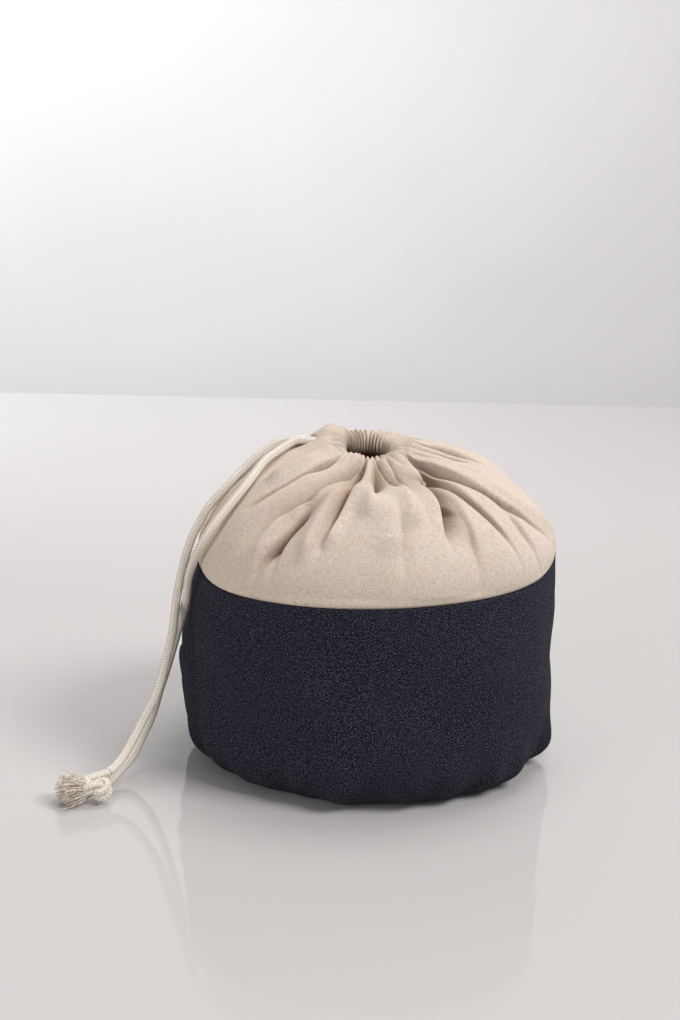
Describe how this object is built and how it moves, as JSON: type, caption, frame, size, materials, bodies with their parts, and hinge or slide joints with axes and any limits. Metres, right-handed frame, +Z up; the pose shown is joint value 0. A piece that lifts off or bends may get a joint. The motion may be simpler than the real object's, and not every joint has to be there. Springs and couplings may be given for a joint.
{
  "type": "drawstring pouch",
  "caption": "Round kinchaku pouch: dark denim body, gathered canvas top drawn shut by a soft cord that leaves on the left and ends in a knot.",
  "frame": {"origin": "middle of the pouch's footprint, on the surface it stands on", "axes": "+Z up. -Y is the pouch's front. +X and -X run to the two side seams, and the drawstring leaves the mouth towards -X"},
  "size_m": [0.2498, 0.2001, 0.1738],
  "materials": {
    "denim": "raw dark indigo twill",
    "canvas": "unbleached plain weave",
    "cotton_cord": "soft twisted cotton"
  },
  "bodies": {
    "root": {"denim_front_panel": "denim", "denim_back_panel": "denim", "denim_base": "denim", "canvas_front_panel": "canvas", "canvas_back_panel": "canvas", "drawstring_casing_run": "cotton_cord", "drawstring_inner_strand": "cotton_cord", "drawstring_outer_strand": "cotton_cord", "drawstring_knot": "cotton_cord", "drawstring_frayed_ends": "cotton_cord"}
  },
  "joints": []
}
